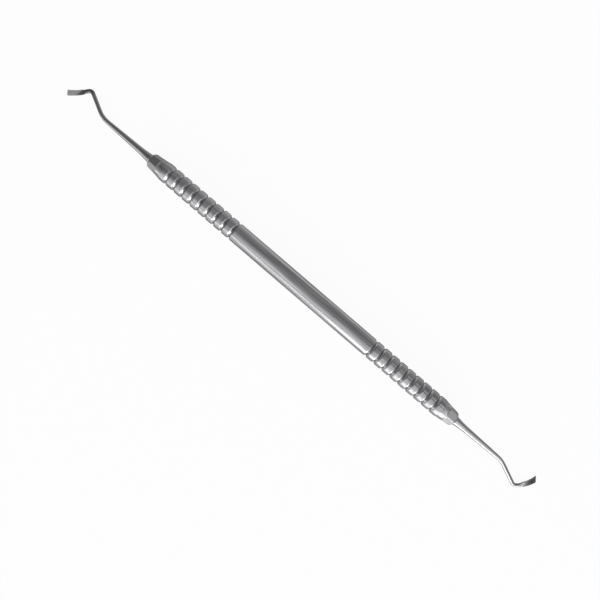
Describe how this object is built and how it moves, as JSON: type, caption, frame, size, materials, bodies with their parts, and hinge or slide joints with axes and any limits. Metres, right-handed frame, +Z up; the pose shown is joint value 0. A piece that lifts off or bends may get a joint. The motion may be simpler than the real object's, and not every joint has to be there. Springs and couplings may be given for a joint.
{
  "type": "gingival margin trimmer",
  "caption": "Double-ended steel hand instrument: a ring-grooved round handle with a bent shank and a small curved, slant-edged blade at each end.",
  "frame": {"origin": "middle of the handle's length, on the handle's axis", "axes": "+X along the handle towards its right end, +Z up as the instrument lies, +Y across the handle"},
  "size_m": [0.1799, 0.0081, 0.006],
  "materials": {
    "handle_steel": "turned and satin polished",
    "working_end_steel": "ground and polished bright"
  },
  "bodies": {
    "root": {"handle": "handle_steel", "left_working_end": "working_end_steel", "right_working_end": "working_end_steel"}
  },
  "joints": []
}
